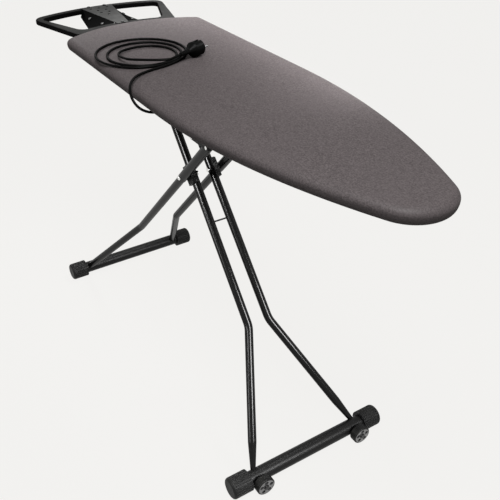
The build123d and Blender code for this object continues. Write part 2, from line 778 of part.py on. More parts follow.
# Wheels on stub axles at the front of the front bar
wheel_z = wheel_lift + wheel_radius
collar_x = front_foot_x + bar_radius
wheel_x0 = collar_x + axle_head_length + side_gap
wheel_x1 = wheel_x0 + wheel_width
axles = []
for name, side in sides.items():
    y = side * wheel_spread
    hub_radius = wheel_radius - tyre_depth
    tyre = rod_between((wheel_x0, y, wheel_z), (wheel_x1, y, wheel_z), wheel_radius)
    tyre = fillet(tyre.edges().filter_by(GeomType.CIRCLE), tyre_depth * 0.8)
    tyre -= rod_between((wheel_x0, y, wheel_z), (wheel_x1, y, wheel_z), hub_radius)
    save(f"wheel_tyre_{name}", tyre)
    hub = rod_between((wheel_x0, y, wheel_z), (wheel_x1, y, wheel_z), hub_radius)
    hub -= rod_between((wheel_x0, y, wheel_z), (wheel_x1, y, wheel_z), axle_radius + running_gap)
    for petal in range(wheel_petal_count):
        turn = math.radians(90 + 360 * petal / wheel_petal_count)
        petal_y = y + wheel_petal_ring * math.cos(turn)
        petal_z = wheel_z + wheel_petal_ring * math.sin(turn)
        pocket_x = wheel_x1 - wheel_petal_depth
        hub -= rod_between((pocket_x, petal_y, petal_z), (wheel_x1, petal_y, petal_z), wheel_petal_radius)
    save(f"wheel_hub_{name}", hub)
    axle_end = wheel_x1 + side_gap
    axle = rod_between((front_foot_x, y, wheel_z), (axle_end, y, wheel_z), axle_radius)
    collar = rod_between((front_foot_x, y, wheel_z), (wheel_x0 - side_gap, y, wheel_z), axle_collar_radius)
    collar -= foot_rod(front_foot_x, bar_radius)
    head = rod_between((axle_end, y, wheel_z), (axle_end + axle_head_length, y, wheel_z), axle_head_radius)
    head = fillet(head.edges().sort_by(Axis.X)[-1], axle_head_length / 2)
    axle += collar
    axle += head
    axles.append(axle)
    front_bar -= rod_between((front_foot_x, y, wheel_z), (wheel_x0, y, wheel_z), axle_radius)
save("wheel_axles", Compound(children=axles))
save("front_foot_bar", front_bar)

# Hinge bracket between the front tubes, and its rod
ear_outer = hinge_ear_inner + hinge_ear_thickness
bracket = block(
    hinge_x - hinge_base_length / 2,
    hinge_x + hinge_base_length / 2,
    -hinge_base_width / 2,
    hinge_base_width / 2,
    deck_bottom - hinge_ear_thickness,
    deck_bottom,
)
for side in sides.values():
    ear_low, ear_high = sorted((side * hinge_ear_inner, side * ear_outer))
    ear = block(
        hinge_x - hinge_ear_radius, hinge_x + hinge_ear_radius, ear_low, ear_high, hinge_height, deck_bottom
    )
    bracket += ear + rod_y(hinge_x, hinge_height, ear_low, ear_high, hinge_ear_radius)
bracket -= rod_y(hinge_x, hinge_height, -ear_outer, ear_outer, hinge_rod_radius)
save("hinge_bracket", bracket)

rod_seat = front_half_gap_top + leg_tube_radius + side_gap
hinge_rod = rod_y(hinge_x, hinge_height, -rod_seat, rod_seat, hinge_rod_radius)
for side in sides.values():
    head_end = side * (rod_seat + hinge_rod_head_length)
    hinge_rod += rod_y(hinge_x, hinge_height, side * rod_seat, head_end, hinge_rod_head_radius)
save("hinge_rod", hinge_rod)

# Slide rod with round shoes, and the two rails that the shoes run in
shoe_outer = shoe_inner + shoe_width
slide_rod = rod_y(slide_x, hinge_height, -shoe_outer, shoe_outer, slide_rod_radius)
save("slide_rod", slide_rod)
shoes = []
rail_axis_z = hinge_height + rail_offset
rail_half_height = shoe_radius + rail_play
web_inner = shoe_outer + rail_side_gap
flange_inner = web_inner - rail_flange
rail_x0 = slide_x - rail_overrun
rail_x1 = folded_slide_x + rail_overrun
for name, side in sides.items():
    hub_inner = side * (rear_half_gap_top + sleeve_radius + side_gap)
    shoe = rod_y(slide_x, hinge_height, side * shoe_inner, side * shoe_outer, shoe_radius)
    shoe += rod_y(slide_x, hinge_height, hub_inner, side * shoe_inner, shoe_hub_radius)
    shoes.append(shoe - slide_rod)

    def rail_block(x0, x1, y_in, y_out, z0, z1):
        low, high = sorted((side * y_in, side * y_out))
        return block(x0, x1, low, high, z0, z1)

    top_z = rail_axis_z + rail_half_height
    low_z = rail_axis_z - rail_half_height
    web_outer = web_inner + rail_wall
    rail = rail_block(rail_x0, rail_x1, web_inner, web_outer, low_z - rail_wall, top_z + rail_wall)
    rail += rail_block(rail_x0, rail_x1, flange_inner, web_inner, low_z - rail_wall, low_z)
    rail += rail_block(rail_x0, rail_x1, flange_inner, web_inner, top_z, top_z + rail_wall)
    for x in (rail_x0, rail_x1 - rail_hanger_length):
        rail += rail_block(x, x + rail_hanger_length, web_inner, web_outer, top_z, deck_bottom)
        foot_out = web_outer + rail_flange / 2
        rail += rail_block(x, x + rail_hanger_length, web_inner, foot_out, deck_bottom - rail_wall, deck_bottom)
    save(f"slide_rail_{name}", rail)
save("slide_shoes", Compound(children=shoes))

# Height lock: notched rack on a pin in its bracket, release bar and grip
rack_pin_x = folded_slide_x + rack_tail
rack_pin_z = deck_bottom - rack_pin_drop
rack_low = hinge_height + slide_rod_radius + rail_play + rack_clearance
rack_top = rack_low + rack_height
rack_start = slide_x - rack_overhang
rack = block(rack_start, rack_pin_x + rack_height / 2, -rack_thickness / 2, rack_thickness / 2, rack_low, rack_top)
notch_half = slide_rod_radius + rack_notch_play
for notch in range(rack_notch_count):
    notch_x = slide_x + notch * rack_notch_pitch
    rack -= block(
        notch_x - notch_half,
        notch_x + notch_half,
        -rack_thickness,
        rack_thickness,
        rack_low,
        rack_low + rack_notch_depth,
    )
rack -= rod_y(rack_pin_x, rack_pin_z, -rack_thickness, rack_thickness, rack_pin_radius + running_gap)
release_x = folded_slide_x - rail_hanger_length / 2
release_z = rack_pin_z
release_bar = rod_y(release_x, release_z, rack_thickness / 2, release_bar_reach, release_bar_radius)
release_tail = rod_y(release_x, release_z, rack_thickness / 2, -rack_thickness, release_bar_radius)
rack -= release_tail
save("lock_rack", rack)
save("release_bar", release_bar + release_tail)

grip_top = cover_bottom - grip_top_gap
grip = block(
    release_x - grip_length / 2,
    release_x + grip_length / 2,
    grip_inner,
    grip_reach,
    grip_top - grip_depth,
    grip_top,
)
grip = fillet(grip.edges().filter_by(Axis.X), grip_depth / 3)
grip_neck = block(
    release_x - grip_depth / 2,
    release_x + grip_depth / 2,
    grip_inner,
    release_bar_reach,
    grip_top - grip_depth / 2,
    release_z + 2 * release_bar_radius,
)
grip = grip + grip_neck - release_bar
save("release_grip", grip)

lock_ear_inner = rack_thickness / 2 + lock_ear_gap
lock_ear_outer = lock_ear_inner + lock_ear_thickness
lock_bracket = block(
    rack_pin_x - lock_base_length / 2,
    rack_pin_x + lock_base_length / 2,
    -lock_base_width / 2,
    lock_base_width / 2,
    deck_bottom - lock_ear_thickness,
    deck_bottom,
)
for side in sides.values():
    ear_low, ear_high = sorted((side * lock_ear_inner, side * lock_ear_outer))
    ear_radius = rack_pin_radius * 2.2
    ear = block(
        rack_pin_x - ear_radius, rack_pin_x + ear_radius, ear_low, ear_high, rack_pin_z, deck_bottom
    )
    lock_bracket += ear + rod_y(rack_pin_x, rack_pin_z, ear_low, ear_high, ear_radius)
lock_bracket -= rod_y(rack_pin_x, rack_pin_z, -lock_ear_outer, lock_ear_outer, rack_pin_radius)
save("lock_bracket", lock_bracket)
lock_pin = rod_y(rack_pin_x, rack_pin_z, -lock_ear_outer, lock_ear_outer, rack_pin_radius)
for side in sides.values():
    head_end = side * (lock_ear_outer + screw_head_height / 2)
    lock_pin += rod_y(rack_pin_x, rack_pin_z, side * lock_ear_outer, head_end, rack_pin_radius * 1.6)
save("lock_pin", lock_pin)


# Chains of arcs through given points and headings
def biarc(start, start_dir, end, end_dir):
    chord = end - start
    total = start_dir + end_dir
    spread = 1 - start_dir.dot(end_dir)
    along = chord.dot(total)
    reach = (math.sqrt(along**2 + 2 * spread * chord.dot(chord)) - along) / (2 * spread)
    first = start + start_dir * reach
    second = end - end_dir * reach
    joint = (first + second) / 2
    joint_dir = (second - first).normalized()
    return [Edge.make_tangent_arc(start, start_dir, joint), Edge.make_tangent_arc(joint, joint_dir, end)]


def arc_chain(stations):
    edges = []
    for (start, start_dir), (end, end_dir) in zip(stations, stations[1:]):
        edges += biarc(start, start_dir, end, end_dir)
    return Wire(edges)


def least_self_gap(wire, radius, skip):
    count = int(wire.length / 2)
    points = [wire.position_at(step / count) for step in range(count + 1)]
    apart = int(skip / 2)
    nearest = min(
        (points[a] - points[b]).length for a in range(len(points)) for b in range(a + apart, len(points))
    )
    return nearest - 2 * radius


# Return spring of the lock, between the deck and the rack
spring_x = (slide_x + release_x) / 2
spring_low = rack_top + spring_lift + spring_wire_radius
spring_high = deck_bottom - spring_lift - spring_wire_radius
spring_stations = []
for quarter in range(4 * spring_turns + 1):
    turn = math.radians(90 * quarter)
    rise = (spring_high - spring_low) * quarter / (4 * spring_turns)
    place = Vector(spring_x + spring_radius * math.cos(turn), spring_radius * math.sin(turn), spring_low + rise)
    pitch = (spring_high - spring_low) / (2 * math.pi * spring_turns * spring_radius)
    spring_stations.append((place, Vector(-math.sin(turn), math.cos(turn), pitch).normalized()))
spring_path = arc_chain(spring_stations)
print("spring self gap", round(least_self_gap(spring_path, spring_wire_radius, 4 * spring_radius), 2))
save("lock_spring", swept(spring_path, spring_wire_radius))

# Socket: housing on two posts, face with its round well, cable gland and screws
socket_x0 = socket_x - socket_length / 2
socket_x1 = socket_x + socket_length / 2
socket_z0 = socket_axis_height - socket_height / 2
socket_z1 = socket_axis_height + socket_height / 2
housing = block(socket_x0, socket_x1, socket_outer_y, socket_inner_y, socket_z0, socket_z1)
housing -= block(
    socket_x0 + socket_wall,
    socket_x1 - socket_wall,
    socket_outer_y,
    socket_inner_y - socket_wall,
    socket_z0 + socket_wall,
    socket_z1 - socket_wall,
)
post_y = (socket_outer_y + socket_inner_y) / 2
for x in (socket_x0 + socket_post / 2, socket_x1 - socket_post / 2):
    housing += block(
        x - socket_post / 2, x + socket_post / 2, post_y - socket_post / 2, post_y + socket_post / 2,
        socket_z1, deck_bottom
    )
gland_start = (socket_x0, gland_y, socket_axis_height)
gland_tip_x = socket_x0 - gland_length
gland_tip = (gland_tip_x, gland_y, socket_axis_height)
housing -= rod_between(gland_tip, (socket_x, gland_y, socket_axis_height), cord_radius)
face_y = socket_outer_y - socket_wall
face_plate = block(socket_x0, socket_x1, face_y, socket_outer_y, socket_z0, socket_z1)
well_floor_y = face_y + socket_well_depth
cup_radius = socket_well_radius + socket_well_wall
face_plate += rod_y(socket_x, socket_axis_height, face_y, well_floor_y + socket_well_wall, cup_radius)
face_plate -= rod_y(socket_x, socket_axis_height, face_y, well_floor_y, socket_well_radius)
for side in sides.values():
    pin_x = socket_x + side * socket_pin_pitch / 2
    face_plate -= rod_y(
        pin_x, socket_axis_height, well_floor_y, well_floor_y + socket_well_wall, socket_pin_radius
    )
socket_screws = []
screw_offset_x = socket_length / 2 - screw_head_radius - 1
screw_offset_z = socket_height / 2 - screw_head_radius - 1
for x_side in (-1, 1):
    for z_side in (-1, 1):
        x = socket_x + x_side * screw_offset_x
        z = socket_axis_height + z_side * screw_offset_z
        shank = rod_y(x, z, face_y, socket_outer_y, screw_radius)
        face_plate -= shank
        head = rod_y(x, z, face_y - screw_head_height / 2, face_y, screw_head_radius * 0.8)
        socket_screws.append(shank + head)
save("socket_housing", housing)
save("socket_face", face_plate)
save("socket_screws", Compound(children=socket_screws))

gland = cone_between(gland_tip, gland_start, gland_tip_radius, gland_base_radius)
gland_middle = (gland_tip_x + gland_length / 2, gland_y, socket_axis_height)
gland -= rod_between(gland_middle, gland_start, cord_radius)
save("cable_gland", gland)

# Mains lead: free stretch from the gland, round the edge and on to the cover
cord_z = board_height + cord_lift + cord_radius
bundle_turn = math.radians(coil_bundle_angle)
bundle_dir = Vector(math.cos(bundle_turn), math.sin(bundle_turn), 0)
coil_start = Vector(coil_start_x, coil_start_y, cord_z)
lead_in = coil_start - Vector(-bundle_dir.Y, bundle_dir.X, 0) * lead_in_length
# Each row is a share of the way: along to the coil, out to the board's edge, and up to the cover
lead_shares = [
    (0.0917, 0, 0.0087),
    (0.1886, 0.1096, 0.0519),
    (0.2599, 0.3288, 0.1211),
    (0.2905, 0.6027, 0.1903),
    (0.3007, 0.8904, 0.2509),
    (0.3261, 1.1233, 0.3979),
    (0.3720, 1.2397, 0.5882),
    (0.4332, 1.2740, 0.7958),
    (0.5147, 1.2192, 0.9602),
    (0.6166, 1.0753, 1.0554),
    (0.7185, 0.8630, 1.0986),
    (0.8307, 0.6027, 1.0554),
    (0.9173, 0.2877, 1.0138),
    (0.9734, -0.0959, 1),
]
lead_points = [gland_tip]
for along, out, up in lead_shares:
    x = gland_tip_x + along * (lead_in.X - gland_tip_x)
    y = gland_y - out * (half_width + gland_y)
    lead_points.append((x, y, socket_axis_height + up * (cord_z - socket_axis_height)))
lead_points.append((lead_in.X, lead_in.Y, lead_in.Z))
lead_points.append((coil_start.X, coil_start.Y, coil_start.Z))
lead_vectors = [Vector(*point) for point in lead_points]
lead_radii = []
for before, here, after in zip(lead_vectors, lead_vectors[1:], lead_vectors[2:]):
    shorter = min((here - before).length, (after - here).length)
    half_turn = math.radians((here - before).get_angle(after - here) / 2)
    lead_radii.append(0.45 * shorter / math.tan(half_turn))
print("lead radii", [round(radius) for radius in lead_radii])
lead_path = FilletPolyline(*lead_points, radius=lead_radii)
lead = swept(lead_path, cord_radius)
print("lead points", [tuple(round(value, 1) for value in point) for point in lead_points])
print("lead length", round(lead_path.length))
save("mains_lead", lead)

# Coil: loose turns that shrink and lie side by side at the right, then climb over to the plug
coil_stations = []
for quarter in range(coil_quarters + 1):
    turn = quarter / 4
    angle = bundle_turn + 2 * math.pi * turn
    radius = coil_first_radius - coil_shrink * turn
    center = coil_start - bundle_dir * (coil_bundle_pitch * turn + radius)
    climb = coil_climb * max(quarter - coil_quarters + 1, 0)
    place = center + Vector(radius * math.cos(angle), radius * math.sin(angle), climb)
    coil_stations.append((place, Vector(-math.sin(angle), math.cos(angle), 0)))
plug_axis_z = board_height + cord_lift + plug_body_radius
plug_dir = Vector(math.cos(math.radians(plug_heading)), math.sin(math.radians(plug_heading)), 0)
plug_entry = Vector(plug_entry_x, plug_entry_y, plug_axis_z)
coil_stations.append((plug_entry, plug_dir))
coil_path = arc_chain(coil_stations)
coil = swept(coil_path, cord_radius)
print("coil length", round(coil_path.length), "self gap", round(least_self_gap(coil_path, cord_radius, 40), 2))
save("lead_coil", coil)

# Plug: ribbed strain relief, round body and two pins
body_start = plug_relief_length
body_end = body_start + plug_body_length
relief_slope = (plug_relief_base_radius - plug_relief_tip_radius) / plug_relief_length
relief_rows = []
for groove in range(1, int(plug_relief_length // plug_relief_pitch)):
    place = groove * plug_relief_pitch
    for offset, cut in ((-1.2, 0), (-0.6, plug_relief_groove), (0.6, plug_relief_groove), (1.2, 0)):
        radius = plug_relief_tip_radius + relief_slope * (place + offset) - cut
        relief_rows.append((radius, place + offset))
profile = [
    (0, 0),
    (plug_relief_tip_radius, 0),
    *relief_rows,
    (plug_relief_base_radius, body_start),
    (plug_body_radius, body_start + plug_shoulder),
    (plug_body_radius, body_end),
    (0, body_end),
]
plug_profile = Plane(origin=plug_entry, x_dir=(0, 0, 1), z_dir=Vector(0, 0, 1).cross(plug_dir))
plug_face = plug_profile * make_face(Polyline(*profile, close=True))
plug_body = revolve(plug_face, Axis(plug_entry, plug_dir))
notch_middle = plug_entry + plug_dir * (body_end - plug_notch_length / 2)
notch_plane = Plane(origin=notch_middle, x_dir=plug_dir, z_dir=(0, 0, 1))
for side in sides.values():
    notch_box = Box(plug_notch_length, plug_notch_width, 2 * plug_notch_depth)
    plug_body -= notch_plane * Pos(0, 0, side * plug_body_radius) * notch_box
pins = []
pin_side = plug_dir.cross(Vector(0, 0, 1))
for side in sides.values():
    base = plug_entry + plug_dir * body_end + pin_side * (side * socket_pin_pitch / 2)
    pin_tip = base + plug_dir * plug_pin_length
    pin = rod_between((base.X, base.Y, base.Z), (pin_tip.X, pin_tip.Y, pin_tip.Z), plug_pin_radius)
    tip = pin.edges().filter_by(GeomType.CIRCLE).sort_by(Axis(plug_entry, plug_dir))[-1]
    pins.append(fillet(tip, plug_pin_radius * 0.6))
save("plug_body", plug_body)
save("plug_pins", Compound(children=pins))

print("hinge", hinge_x, "slide", slide_x, "folded slide", folded_slide_x)
print("angles", front_angle, rear_angle, "ratio", 1 + rear_angle / front_angle)
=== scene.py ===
import bpy
import bmesh
import math
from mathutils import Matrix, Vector, noise


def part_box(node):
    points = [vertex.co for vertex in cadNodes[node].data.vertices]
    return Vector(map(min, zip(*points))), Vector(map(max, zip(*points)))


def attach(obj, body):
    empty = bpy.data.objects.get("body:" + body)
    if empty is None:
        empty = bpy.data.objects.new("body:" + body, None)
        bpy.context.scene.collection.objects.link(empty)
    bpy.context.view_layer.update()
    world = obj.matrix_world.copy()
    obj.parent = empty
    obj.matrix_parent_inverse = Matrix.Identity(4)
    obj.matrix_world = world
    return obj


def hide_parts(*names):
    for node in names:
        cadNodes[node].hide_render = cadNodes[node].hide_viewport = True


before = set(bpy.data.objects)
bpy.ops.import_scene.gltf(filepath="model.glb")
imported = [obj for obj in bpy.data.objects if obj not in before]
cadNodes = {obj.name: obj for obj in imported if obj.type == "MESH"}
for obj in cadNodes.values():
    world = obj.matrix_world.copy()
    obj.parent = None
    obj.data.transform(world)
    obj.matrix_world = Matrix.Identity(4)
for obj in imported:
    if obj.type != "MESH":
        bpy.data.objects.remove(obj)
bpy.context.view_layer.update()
scene = bpy.context.scene
scene.view_settings.view_transform = "Standard"
print("frame loaded", len(cadNodes), "nodes")


# shader helpers
def rgb(red, green, blue):
    return (red, green, blue, 1)


def grey(level):
    return rgb(level, level, level)


def feedSocket(tree, socket, value):
    # a value is another node's output or a constant
    if isinstance(value, bpy.types.NodeSocket):
        tree.links.new(value, socket)
    else:
        socket.default_value = value


def addNode(tree, kind, inputs=None, **settings):
    node = tree.nodes.new(kind)
    for key, value in settings.items():
        setattr(node, key, value)
    for key, value in (inputs or {}).items():
        feedSocket(tree, node.inputs[key], value)
    return node


def mathNode(tree, operation, first, second=0.0):
    return addNode(tree, "ShaderNodeMath", {0: first, 1: second}, operation=operation).outputs[0]


def rangeNode(tree, value, source, target=(0.0, 1.0)):
    inputs = {"Value": value, "From Min": source[0], "From Max": source[1],
              "To Min": target[0], "To Max": target[1]}
    return addNode(tree, "ShaderNodeMapRange", inputs).outputs[0]


def shareNode(tree, share, ends):
    # from the first end at 0 to the second at 1
    return rangeNode(tree, share, (0.0, 1.0), ends)


def mixColor(tree, factor, first, second):
    # 6 and 7 are the Mix node's colour inputs, 2 its colour output
    inputs = {"Factor": factor, 6: first, 7: second}
    return addNode(tree, "ShaderNodeMix", inputs, data_type="RGBA").outputs[2]


def spotNode(tree):
    return addNode(tree, "ShaderNodeTexCoord").outputs["Object"]


def noiseNode(tree, spot, scale, detail):
    inputs = {"Vector": spot, "Scale": scale, "Detail": detail}
    return addNode(tree, "ShaderNodeTexNoise", inputs).outputs[0]


def stretchNode(tree, spot, scale):
    return addNode(tree, "ShaderNodeMapping", {"Vector": spot, "Scale": scale}).outputs[0]


def newGroup(name, inputs, outputs):
    tree = bpy.data.node_groups.new(name, "ShaderNodeTree")
    for label, default in inputs.items():
        socket = tree.interface.new_socket(name=label, in_out="INPUT", socket_type="NodeSocketFloat")
        socket.default_value = default
    for label in outputs:
        tree.interface.new_socket(name=label, in_out="OUTPUT", socket_type="NodeSocketFloat")
    return tree, tree.nodes.new("NodeGroupInput").outputs, tree.nodes.new("NodeGroupOutput").inputs


def placeGroup(tree, group, **inputs):
    node = tree.nodes.new("ShaderNodeGroup")
    node.node_tree = group
    for key, value in inputs.items():
        node.inputs[key].default_value = value
    return node.outputs


def newMaterial(name, sockets):
    material = bpy.data.materials.new(name)
    material.use_nodes = True
    tree = material.node_tree
    shader = tree.nodes["Principled BSDF"]
    for key, value in sockets.items():
        shader.inputs[key].default_value = value
    return material, tree, shader


def bumpInto(tree, shader, height, strength, distance):
    inputs = {"Height": height, "Strength": strength, "Distance": distance}
    bump = addNode(tree, "ShaderNodeBump", inputs)
    tree.links.new(bump.outputs[0], shader.inputs["Normal"])


# shared surface effects
midNoise = (0.35, 0.65)  # where most of a noise texture's values lie

weaveRule = {
    "dropAcross": 0.6, "dropAlong": 0.8,  # how far the threads shift on the cloth's turned edge
    "warpStretch": (60, 900, 500), "weftStretch": (900, 60, 500), "slubDetail": 2.0,
    "overShare": 0.35, "yarnRange": (0.7, 1.3), "yarnShare": 0.4,
    "clumpDetail": 2.0, "clumpShare": 0.6, "mottleScale": 9.0, "mottleDetail": 5.0,
}


def buildWeave():
    # plain weave with slubby yarns, from the place on the cloth
    rule = weaveRule
    inputs = {"Threads": 900.0, "Slub": 0.5, "Clump": 240.0}
    tree, given, result = newGroup("weave", inputs, ["Height", "Fleck", "Mottle"])
    spot = spotNode(tree)
    x, y, z = addNode(tree, "ShaderNodeSeparateXYZ", {0: spot}).outputs
    across = mathNode(tree, "ADD", x, mathNode(tree, "MULTIPLY", z, rule["dropAcross"]))
    along = mathNode(tree, "ADD", y, mathNode(tree, "MULTIPLY", z, rule["dropAlong"]))
    turns = mathNode(tree, "MULTIPLY", given["Threads"], math.pi)
    warp = mathNode(tree, "SINE", mathNode(tree, "MULTIPLY", across, turns))
    weft = mathNode(tree, "SINE", mathNode(tree, "MULTIPLY", along, turns))
    over = mathNode(tree, "MULTIPLY", warp, weft)
    warpSlub = noiseNode(tree, stretchNode(tree, spot, rule["warpStretch"]), 1.0, rule["slubDetail"])
    weftSlub = noiseNode(tree, stretchNode(tree, spot, rule["weftStretch"]), 1.0, rule["slubDetail"])
    bothSlubs = mathNode(tree, "ADD", warpSlub, weftSlub)
    slub = mathNode(tree, "MULTIPLY", bothSlubs, given["Slub"])
    height = mathNode(tree, "ADD", mathNode(tree, "MULTIPLY", over, rule["overShare"]), slub)
    clump = noiseNode(tree, spot, given["Clump"], rule["clumpDetail"])
    mottle = noiseNode(tree, spot, rule["mottleScale"], rule["mottleDetail"])
    yarns = mathNode(tree, "MULTIPLY", rangeNode(tree, bothSlubs, rule["yarnRange"]), rule["yarnShare"])
    clumps = rangeNode(tree, clump, midNoise, (0.0, rule["clumpShare"]))
    tree.links.new(height, result["Height"])
    tree.links.new(mathNode(tree, "ADD", yarns, clumps), result["Fleck"])
    tree.links.new(rangeNode(tree, mottle, midNoise), result["Mottle"])
    return tree


grainRule = {"fineDetail": 3.0, "cloudDetail": 4.0, "patchRange": (0.4, 0.7)}


def buildGrain():
    # fine grain, cloudy handling marks, and a tone on what faces up: patchy dust, and where the patches
    # are evened out, painted light on the top faces
    rule = grainRule
    inputs = {"Scale": 900.0, "Cloud": 14.0, "Patch": 1.0, "Rise": 0.3}
    tree, given, result = newGroup("grain", inputs, ["Height", "Cloud", "DustAndTopLight"])
    spot = spotNode(tree)
    fine = noiseNode(tree, spot, given["Scale"], rule["fineDetail"])
    cloud = noiseNode(tree, spot, given["Cloud"], rule["cloudDetail"])
    facing = addNode(tree, "ShaderNodeNewGeometry").outputs["Normal"]
    upward = addNode(tree, "ShaderNodeSeparateXYZ", {0: facing}).outputs[2]
    patches = rangeNode(tree, cloud, rule["patchRange"], (1.0, 0.0))
    patchGaps = mathNode(tree, "MULTIPLY", given["Patch"], patches)
    # what faces up gets the tone: dust, and on the iron rest and its bridge a painted highlight on the
    # tops
    raised = rangeNode(tree, upward, (given["Rise"], 1.0))
    dustAndTopLight = mathNode(tree, "MULTIPLY", raised, mathNode(tree, "SUBTRACT", 1.0, patchGaps))
    tree.links.new(fine, result["Height"])
    tree.links.new(rangeNode(tree, cloud, midNoise), result["Cloud"])
    tree.links.new(dustAndTopLight, result["DustAndTopLight"])
    return tree


drawnRule = {"stretch": (30, 420, 420), "detail": 4.0, "range": (0.3, 0.7)}


def buildDrawn():
    # long streaks that rolling and drawing leave on plated steel
    rule = drawnRule
    tree, given, result = newGroup("drawn", {"Scale": 1.0}, ["Height", "Streak"])
    stretched = stretchNode(tree, spotNode(tree), rule["stretch"])
    streak = noiseNode(tree, stretched, given["Scale"], rule["detail"])
    tree.links.new(streak, result["Height"])
    tree.links.new(rangeNode(tree, streak, rule["range"]), result["Streak"])
    return tree


weave = buildWeave()
grain = buildGrain()
drawn = buildDrawn()
print("surface effects built")


# finishes; relief is the depth of the bump in metres
def wovenCloth(name, look, relief):
    coatWeight, coatRough, coatIndex = look["coat"]
    material, tree, shader = newMaterial(name, {
        "Roughness": look["rough"], "Specular IOR Level": 0.05,
        "Sheen Weight": look["sheen"], "Sheen Roughness": 0.45, "Sheen Tint": look["sheenTint"],
        "Coat Weight": coatWeight, "Coat Roughness": coatRough, "Coat IOR": coatIndex})
    cloth = placeGroup(tree, weave, Threads=look["threads"], Slub=look["slub"], Clump=look["clump"])
    base = mixColor(tree, cloth["Fleck"], look["dark"], look["light"])
    base = mixColor(tree, shareNode(tree, cloth["Mottle"], (0.0, look["mottled"])), base, look["mottle"])
    tree.links.new(base, shader.inputs["Base Color"])
    bumpInto(tree, shader, cloth["Height"], look["bump"], relief)
    return material


def coatedFinish(name, look, relief):
    # paint has one tone, moulded plastic clouds towards a lighter one
    coatWeight, coatRough = look["coat"]
    material, tree, shader = newMaterial(name, {
        "Specular IOR Level": look["gloss"], "Coat Weight": coatWeight, "Coat Roughness": coatRough})
    marks = placeGroup(tree, grain, Scale=look["grain"], Cloud=look["cloud"],
                       Patch=look.get("patch", 1.0), Rise=look.get("rise", 0.3))
    base = look["color"]
    if "light" in look:
        base = mixColor(tree, marks["Cloud"], base, look["light"])
    # the up-facing tone is dust, and on the iron rest and its bridge a painted highlight on the top faces
    base = mixColor(tree, shareNode(tree, marks["DustAndTopLight"], (0.0, look["dustAndTopLight"])), base, look["dustAndTopLightColor"])
    tree.links.new(base, shader.inputs["Base Color"])
    tree.links.new(shareNode(tree, marks["Cloud"], look["rough"]), shader.inputs["Roughness"])
    bumpInto(tree, shader, marks["Height"], look["bump"], relief)
    return material


def platedSteel(name, look, relief):
    material, tree, shader = newMaterial(name, {"Metallic": 1.0})
    marks = placeGroup(tree, drawn, Scale=look["streak"])
    base = mixColor(tree, marks["Streak"], look["dark"], look["light"])
    tree.links.new(base, shader.inputs["Base Color"])
    tree.links.new(shareNode(tree, marks["Streak"], look["rough"]), shader.inputs["Roughness"])
    bumpInto(tree, shader, marks["Height"], look["bump"], relief)
    return material


clothLooks = {
    # the cover's coat is a faint metallised one, which shines on the near shoulder
    "coverCloth": {
        "dark": rgb(0.042, 0.035, 0.036), "light": rgb(0.136, 0.117, 0.119),
        "mottle": rgb(0.097, 0.083, 0.085), "mottled": 0.35, "coat": (0.055, 0.5, 3.0),
        "threads": 900.0, "slub": 0.5, "clump": 360.0, "rough": 0.9, "bump": 0.6,
        "sheen": 0.03, "sheenTint": rgb(0.85, 0.8, 0.8)},
    "padFelt": {
        "dark": rgb(0.55, 0.54, 0.51), "light": rgb(0.72, 0.71, 0.68),
        "mottle": rgb(0.62, 0.6, 0.57), "mottled": 0.35, "coat": (0.0, 0.5, 1.5),
        "threads": 300.0, "slub": 1.2, "clump": 180.0, "rough": 0.95, "bump": 0.8,
        "sheen": 0.3, "sheenTint": grey(1)},
    "elasticTape": {
        "dark": rgb(0.6, 0.6, 0.58), "light": rgb(0.78, 0.78, 0.76),
        "mottle": rgb(0.7, 0.7, 0.68), "mottled": 0.35, "coat": (0.0, 0.5, 1.5),
        "threads": 1400.0, "slub": 0.3, "clump": 400.0, "rough": 0.9, "bump": 0.5,
        "sheen": 0.1, "sheenTint": grey(1)},
}
paintLooks = {
    "tubePaint": {
        "color": grey(0.003), "dustAndTopLightColor": grey(0.02), "dustAndTopLight": 0.1, "gloss": 0.0,
        "coat": (0.32, 0.15), "rough": (0.3, 0.4), "grain": 320.0, "cloud": 16.0, "bump": 0.01},
    "rearTubePaint": {
        "color": grey(0.005), "dustAndTopLightColor": grey(0.03), "dustAndTopLight": 0.1, "gloss": 0.0,
        "coat": (0.45, 0.2), "rough": (0.3, 0.4), "grain": 320.0, "cloud": 16.0, "bump": 0.01},
    "barPaint": {
        "color": grey(0.005), "dustAndTopLightColor": rgb(0.03, 0.03, 0.029), "dustAndTopLight": 0.2, "gloss": 0.05,
        "coat": (0.2, 0.36), "rough": (0.35, 0.5), "grain": 420.0, "cloud": 12.0, "bump": 0.02},
    "deckPaint": {
        "color": rgb(0.02, 0.02, 0.021), "dustAndTopLightColor": grey(0.08), "dustAndTopLight": 0.2, "gloss": 0.2,
        "coat": (0.2, 0.35), "rough": (0.35, 0.5), "grain": 500.0, "cloud": 10.0, "bump": 0.12},
    # the strong, even tone on the bridge's top plate is a painted highlight over near-black paint
    "bridgePaint": {
        "color": grey(0.002), "dustAndTopLightColor": rgb(0.11, 0.11, 0.108), "dustAndTopLight": 0.9, "gloss": 0.0,
        "coat": (0.04, 0.3), "rough": (0.35, 0.5), "grain": 600.0, "cloud": 20.0, "bump": 0.1,
        "patch": 0.3, "rise": 0.985},
    "blackSteel": {
        "color": grey(0.010), "dustAndTopLightColor": grey(0.03), "dustAndTopLight": 0.1, "gloss": 0.1,
        "coat": (0.4, 0.2), "rough": (0.25, 0.35), "grain": 900.0, "cloud": 60.0, "bump": 0.05},
}
